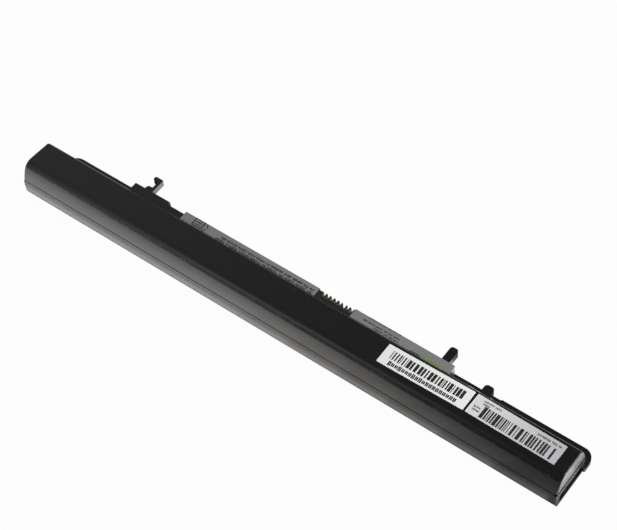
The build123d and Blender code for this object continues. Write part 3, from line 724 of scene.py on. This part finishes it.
@dataclass(frozen=True)
class DashRow:
    """Row of upright dashes in groups, as a line of print looks from far away.

    The widest dash is reach wide. The narrowest dash and the gaps are shares of reach, and the heights and
    the shifts of the lower dashes are shares of height.
    """

    seed: int
    start: float
    end: float
    y: float
    height: float
    reach: float
    group: tuple[int, int] = (5, 14)
    narrowest: float = 0.5
    heights: tuple[float, ...] = (0.7, 1.0, 1.0)
    shifts: tuple[float, ...] = (-0.5, 0.0, 0.5)
    gaps: tuple[float, ...] = (0.25, 0.4)
    group_gap: float = 1.3

    def marks(self) -> list[Mark]:
        """Draws the dashes.

        Returns:
            The dashes.
        """
        draw = np.random.default_rng(self.seed)
        dashes = []
        x = self.start
        while x < self.end:
            for _ in range(draw.integers(*self.group)):
                width = self.reach * draw.uniform(self.narrowest, 1.0)
                tall = self.height * draw.choice(self.heights)
                shift = (self.height - tall) * draw.choice(self.shifts)
                dashes.append(Mark(x + width / 2, self.y + shift, width, tall))
                x += width + self.reach * draw.choice(self.gaps)
                if x > self.end:
                    return dashes
            x += self.reach * self.group_gap
        return dashes


@dataclass(frozen=True)
class BlockRow:
    """Row of bold upright dashes, two and two, that stands for large characters."""

    seed: int = 8
    count: int = 20
    pitch: float = 1.58
    y: float = -2.85
    height: float = 2.2
    heights: tuple[float, ...] = (0.7, 0.85, 1.0)
    stroke: float = 0.58
    sides: tuple[float, ...] = (-0.35, 0.35)

    def marks(self) -> list[Mark]:
        """Draws the dashes, centred on the bed.

        Returns:
            The dashes.
        """
        draw = np.random.default_rng(self.seed)
        dashes = []
        for number in range(self.count):
            x = (number - (self.count - 1) / 2) * self.pitch
            tall = self.height * draw.choice(self.heights)
            dashes.extend(Mark(x + side, self.y, self.stroke, tall) for side in self.sides)
        return dashes


def joined(rows: tuple[DashRow, ...]) -> list[Mark]:
    """The marks of several rows, one row after the other."""
    return [mark for row in rows for mark in row.marks()]


@dataclass
class Stickers:
    """The two white stickers on the flat top, with plain stripes and dashes; places are from the middle."""

    left_turn: float = 0.74
    right_turn: float = -0.84
    left_stripes: StripeRow = StripeRow(21, -16.6, 16.6, y=1.0, height=4.0, module=0.33)
    left_blocks: BlockRow = BlockRow()
    right_stripes: StripeRow = StripeRow(29, -14.6, 14.3, y=-1.25, height=5.4, module=0.363)
    right_end_stripe: Mark = Mark(16.9, -1.3, 0.9, 5.4)
    right_rows: tuple[DashRow, ...] = (
        DashRow(3, -16.4, -8.8, y=3.3, height=0.8, reach=0.36),
        DashRow(4, -15.9, -13.2, y=2.0, height=0.8, reach=0.36),
        DashRow(5, -18.6, -16.0, y=-0.6, height=0.8, reach=0.36),
        DashRow(6, -18.4, -15.6, y=-2.0, height=0.8, reach=0.36),
        DashRow(7, 8.0, 18.3, y=3.0, height=0.95, reach=0.42),
    )
    bold: Ink = Ink((0.006, 0.006, 0.006), pale_share=0.08)
    fine: Ink = Ink((0.03, 0.03, 0.03), pale_share=0.2)

    def build(self) -> list[bpy.types.Object]:
        """Makes the print of both stickers.

        Returns:
            The print pieces.
        """
        bold = self.bold.material("sticker_ink")
        fine = self.fine.material("sticker_fine_ink")
        left = PrintBed.on_middle("barcode_sticker_left", self.left_turn)
        right = PrintBed.on_middle("barcode_sticker_right", self.right_turn)
        right_stripes = self.right_stripes.marks() + [self.right_end_stripe]
        return [
            left.print_marks("left_stripes", self.left_stripes.marks(), bold, Slot.WHITE_STICKER),
            left.print_marks("left_blocks", self.left_blocks.marks(), bold, Slot.WHITE_STICKER),
            right.print_marks("right_stripes", right_stripes, bold, Slot.WHITE_STICKER),
            right.print_marks("right_dashes", joined(self.right_rows), fine, Slot.WHITE_STICKER),
        ]


@dataclass(frozen=True)
class PlainSquare:
    """Outlined square with two bars inside and two slanted bars beside it; places are from its middle."""

    x: float = 8.4
    y: float = -2.025
    width: float = 5.2
    stroke: float = 0.5
    rails: Span = (1.75, -1.75)
    posts: Span = (-2.4, 2.4)
    post_height: float = 3.6
    bars: Span = (0.45, -0.75)
    bar_width: float = 3.4
    bar_stroke: float = 0.45
    slanted: tuple[tuple[float, float, float], ...] = ((4.2, 0.75, 30.0), (3.8, -1.45, -30.0))
    slanted_height: float = 1.9

    def marks(self) -> list[Mark]:
        """Draws the square: its rails and posts, the bars inside, and the slanted bars beside it.

        Returns:
            The marks.
        """
        rails = [Mark(self.x, self.y + rise, self.width, self.stroke) for rise in self.rails]
        posts = [Mark(self.x + side, self.y, self.stroke, self.post_height) for side in self.posts]
        bars = [Mark(self.x, self.y + rise, self.bar_width, self.bar_stroke) for rise in self.bars]
        slanted = [
            Mark(self.x + side, self.y + rise, self.stroke, self.slanted_height, turn)
            for side, rise, turn in self.slanted
        ]
        return rails + posts + bars + slanted


@dataclass
class RatingLabels:
    """The two silver labels on the ledge, with rows of dashes, a plain square and a green stripe.

    Places are from each label's left rear corner.
    """

    square: PlainSquare = PlainSquare()
    left_rows: tuple[DashRow, ...] = (
        DashRow(11, 20.9, 68.9, y=-2.325, height=1.2, reach=0.42),
        DashRow(12, 19.0, 68.9, y=-3.855, height=1.1, reach=0.42),
    )
    right_rows: tuple[DashRow, ...] = (
        DashRow(13, 7.2, 22.6, y=-0.275, height=0.55, reach=0.28),
        DashRow(14, 5.4, 22.9, y=-2.325, height=0.75, reach=0.30),
        DashRow(15, 11.2, 23.0, y=-3.625, height=0.75, reach=0.30),
    )
    dark_strokes: tuple[Mark, ...] = (
        Mark(31.4, -3.975, 4.4, 0.4),
        Mark(33.7, -4.325, 0.4, 0.9),
        Mark(30.2, -4.475, 2.0, 0.4),
    )
    stripe: Mark = Mark(39.3, -4.025, 10.2, 1.5)
    dark: Ink = Ink((0.010, 0.010, 0.010), pale_share=0.15, pale=(0.2, 0.2, 0.2))
    green: Ink = Ink((0.13, 0.20, 0.055), pale_share=0.2)

    def build(self) -> list[bpy.types.Object]:
        """Makes the print of both labels.

        Returns:
            The print pieces.
        """
        dark = self.dark.material("label_ink")
        green = self.green.material("label_green_ink")
        left = PrintBed.on_corner("silver_label_left")
        right = PrintBed.on_corner("silver_label_right")
        left_marks = self.square.marks() + joined(self.left_rows)
        right_marks = joined(self.right_rows) + list(self.dark_strokes)
        return [
            left.print_marks("left_label_print", left_marks, dark, Slot.SILVER_LABEL),
            right.print_marks("right_label_print", right_marks, dark, Slot.SILVER_LABEL),
            right.print_marks("right_label_stripe", [self.stripe], green, Slot.SILVER_LABEL),
        ]


@dataclass
class Casing:
    """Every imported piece, dressed by the slot that the record gives it."""

    record: dict
    nodes: dict

    def dress(self) -> None:
        """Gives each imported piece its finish."""
        made = {slot: finish.material(slot.value) for slot, finish in FINISHES.items()}
        for part in self.record["subparts"]:
            material = made[Slot(part["material_slot"])]
            for place in self.nodes[part["node"]].material_slots:
                place.link = "OBJECT"
                place.material = material
            log.info("dressed %s", part["node"])


@dataclass(frozen=True)
class Lamp:
    """A soft rectangular lamp that the camera doesn't see.

    Its place, the point it faces and its two sides are in metres, and its power is in watts.
    """

    name: str
    place: Point
    aim: Point
    size: Span
    power: float
    tint: Colour = WHITE

    def stand(self) -> None:
        """Adds the lamp. Its back points away from the aim; its side is level, or X where it looks up."""
        data = bpy.data.lights.new(self.name, "AREA")
        data.shape = "RECTANGLE"
        data.size, data.size_y = self.size
        data.energy = self.power
        data.color = self.tint
        lamp = bpy.data.objects.new(self.name, data)
        bpy.context.scene.collection.objects.link(lamp)
        lamp.visible_camera = False
        back = np.array(self.place) - np.array(self.aim)
        back = back / np.linalg.norm(back)
        looks_up = abs(back[2]) > 0.99
        side = np.array((1.0, 0.0, 0.0)) if looks_up else np.cross((0.0, 0.0, 1.0), back)
        side = side / np.linalg.norm(side)
        lamp.matrix_world = placed(side, np.cross(back, side), back, self.place)


@dataclass(frozen=True)
class Panel:
    """A panel of light that lies on the table and shines upwards.

    Its ends along X and Y are in metres, and a light of 1 looks white.
    """

    name: str
    span_x: Span
    span_y: Span
    light: float
    tint: Colour = WHITE

    def lamp(self, lift: float) -> Lamp:
        """Turns the panel into a lamp.

        Args:
            lift: how far it lies above the table, in metres.

        Returns:
            The lamp.
        """
        size = (self.span_x[1] - self.span_x[0], self.span_y[1] - self.span_y[0])
        x, y = sum(self.span_x) / 2, sum(self.span_y) / 2
        power = WHITE_POWER * self.light * size[0] * size[1]
        return Lamp(self.name, (x, y, lift), (x, y, 1.0), size, power, self.tint)


@dataclass
class Studio:
    """White table, a sky that is pale at the left, soft lamps and panels of light on the table."""

    table_half: float = 2.0
    table_drop: float = 0.0001
    table_colour: Colour = (0.30, 0.30, 0.30)
    camera_glow: float = 0.975
    mirror_glow: float = 0.05
    left_sky: float = 0.45
    right_sky: float = 0.0
    sky_edges: Span = (-0.62, -0.20)
    lamps: tuple[Lamp, ...] = (
        Lamp("key", (0.80, 0.30, 0.65), (0.0, 0.0, 0.0), (0.7, 0.7), 17.0),
        Lamp("front_soft", (-0.66, -0.55, 0.028), (-0.12, 0.0, 0.015), (0.6, 0.048), 0.35),
        Lamp("shoulder", (-0.40, -0.72, 0.56), (0.0, 0.0, 0.0), (0.24, 0.40), 0.40),
    )
    panels: tuple[Panel, ...] = (
        Panel("hook_panel", (-0.080, -0.063), (0.0165, 0.026), 2.2),
        Panel("block_panel", (0.0765, 0.088), (0.0125, 0.0185), 2.6),
        Panel("right_panel", (0.1396, 0.1446), (-0.022, 0.004), 3.1),
        Panel("right_back_panel", (0.1413, 0.1455), (0.004, 0.0155), 4.2),
        Panel("back_panel", (-0.16, 0.04), (0.030, 0.30), 0.45),
    )
    panel_lift: float = 0.001
    front_light: float = 1.5
    front_left: float = -0.30
    front_y: Span = (-0.107, -0.022)
    edge_light: float = 1.65
    edge_left: float = -0.17
    edge_y: Span = (-0.0200, -0.0160)
    last_edge_share: float = 0.2
    far_share: float = 0.35
    far_x: Span = (-0.45, 0.0)
    far_depth: float = 0.30
    fade_x: Span = (-0.02, 0.13)
    fade_steps: int = 6
    warm: Colour = (1.0, 0.965, 0.93)

    def build(self) -> None:
        """Sets the table, the world, the lamps and the panels."""
        self._table()
        self._world()
        for lamp in self.lamps:
            lamp.stand()
        for panel in (*self.panels, *self._front_panels()):
            panel.lamp(self.panel_lift).stand()

    def _front_panels(self) -> list[Panel]:
        """Wide panels before the left half of the bar, then narrow ones that dim towards the right.

        Returns:
            The panels, each with a thin brighter one between it and the bar.
        """
        start = self.fade_x[0]
        far_y = (self.front_y[0] - self.far_depth, self.front_y[0])
        panels = [
            Panel("front_edge", (self.edge_left, start), self.edge_y, self.edge_light),
            Panel("front_panel", (self.front_left, start), self.front_y, self.front_light),
            Panel("far_panel", self.far_x, far_y, self.front_light * self.far_share),
        ]
        edges = np.linspace(*self.fade_x, self.fade_steps + 1).tolist()
        for number, span_x in enumerate(zip(edges[:-1], edges[1:])):
            share = 1.0 - (number + 0.5) / self.fade_steps
            edge_share = self.last_edge_share + (1.0 - self.last_edge_share) * share
            front, edge = self.front_light * share, self.edge_light * edge_share
            panels.append(Panel(f"front_panel_{number + 1}", span_x, self.front_y, front, self.warm))
            panels.append(Panel(f"front_edge_{number + 1}", span_x, self.edge_y, edge, self.warm))
        return panels

    def _table(self) -> None:
        """White table. The camera sees it glow near white, and it keeps a light shadow."""
        half, level = self.table_half, -self.table_drop
        corners = [(-half, -half, level), (half, -half, level), (half, half, level), (-half, half, level)]
        mesh = bpy.data.meshes.new("table")
        mesh.from_pydata(corners, [], [(0, 1, 2, 3)])
        table = bpy.data.objects.new("table", mesh)
        bpy.context.scene.collection.objects.link(table)
        graph = Graph(bpy.data.materials.new("table_top"))
        path = graph.node("ShaderNodeLightPath")
        seen = Socket(graph, path.outputs["Is Camera Ray"]) * self.camera_glow
        for name in ("Is Glossy Ray", "Is Transmission Ray"):
            seen = seen + Socket(graph, path.outputs[name]) * self.mirror_glow
        plain = graph.out("ShaderNodeBsdfDiffuse", 0, inputs={"Color": self.table_colour})
        glow = graph.out("ShaderNodeEmission", 0, inputs={"Color": WHITE, "Strength": 1.0})
        graph.node("ShaderNodeOutputMaterial", inputs={"Surface": graph.mix(seen, plain, glow)})
        mesh.materials.append(graph.owner)

    def _world(self) -> None:
        """World that the camera sees as white. It lights the object from the left, not from the right."""
        world = bpy.data.worlds.new("studio")
        bpy.context.scene.world = world
        graph = Graph(world)
        seen = graph.out("ShaderNodeLightPath", "Is Camera Ray")
        direction = graph.out("ShaderNodeTexCoord", "Generated")
        side = graph.out("ShaderNodeSeparateXYZ", "X", inputs={"Vector": direction})
        sky = graph.ramp(side, *self.sky_edges, self.left_sky, self.right_sky)
        fill = graph.out("ShaderNodeBackground", 0, inputs={"Color": WHITE, "Strength": sky})
        white = graph.out("ShaderNodeBackground", 0, inputs={"Color": WHITE, "Strength": 1.0})
        graph.node("ShaderNodeOutputWorld", inputs={"Surface": graph.mix(seen, fill, white)})


@dataclass
class PhotoCamera:
    """Camera at the photograph's viewing angle.

    The angles, the focal length and the offsets were fitted to the object's straight edges and corners.
    Lengths are in millimetres and the focal length is in pixels of the 617 pixel wide frame.
    """

    azimuth: float = 41.932
    elevation: float = 53.479
    roll: float = -6.161
    focal_px: float = 1707.80
    distance: float = 688.80
    shift_right: float = -5.850
    shift_up: float = -8.247
    anchor: Point = (-0.2, 1.675, 20.6)
    frame_width_px: float = 617.0
    sensor: float = 36.0
    nearest: float = 10.0
    farthest: float = 20000.0

    def build(self) -> bpy.types.Object:
        """Places the camera and makes it the scene's own.

        Its back points from the anchor to the eye: the azimuth turns it about Z and the elevation lifts it.
        The roll then turns its level and rise about its back.

        Returns:
            The camera object.
        """
        azimuth, elevation, roll = (math.radians(a) for a in (self.azimuth, self.elevation, self.roll))
        level = np.array([math.cos(azimuth), math.sin(azimuth), 0.0])
        ahead = np.array([math.sin(azimuth), -math.cos(azimuth), 0.0])
        back = ahead * math.cos(elevation) + np.array([0.0, 0.0, math.sin(elevation)])
        rise = np.cross(back, level)
        right = math.cos(roll) * level + math.sin(roll) * rise
        up = -math.sin(roll) * level + math.cos(roll) * rise
        eye = np.array(self.anchor) + self.distance * back - self.shift_right * right - self.shift_up * up
        data = bpy.data.cameras.new("camera")
        data.sensor_width = self.sensor
        data.lens = self.focal_px * self.sensor / self.frame_width_px
        data.clip_start = self.nearest * MM
        data.clip_end = self.farthest * MM
        camera = bpy.data.objects.new("camera", data)
        bpy.context.scene.collection.objects.link(camera)
        camera.matrix_world = placed(right, up, back, eye * MM)
        bpy.context.scene.camera = camera
        return camera


def main() -> None:
    """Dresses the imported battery, adds its print and sets up the studio."""
    logging.basicConfig(level=logging.INFO)
    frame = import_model()
    scene = bpy.context.scene
    scene.view_settings.view_transform = "Standard"
    PhotoCamera().build()
    Studio().build()
    Casing(frame["record"], frame["nodes"]).dress()
    for piece in Stickers().build() + RatingLabels().build():
        log.info("made %s", piece.name)


if __name__ == "__main__":
    main()
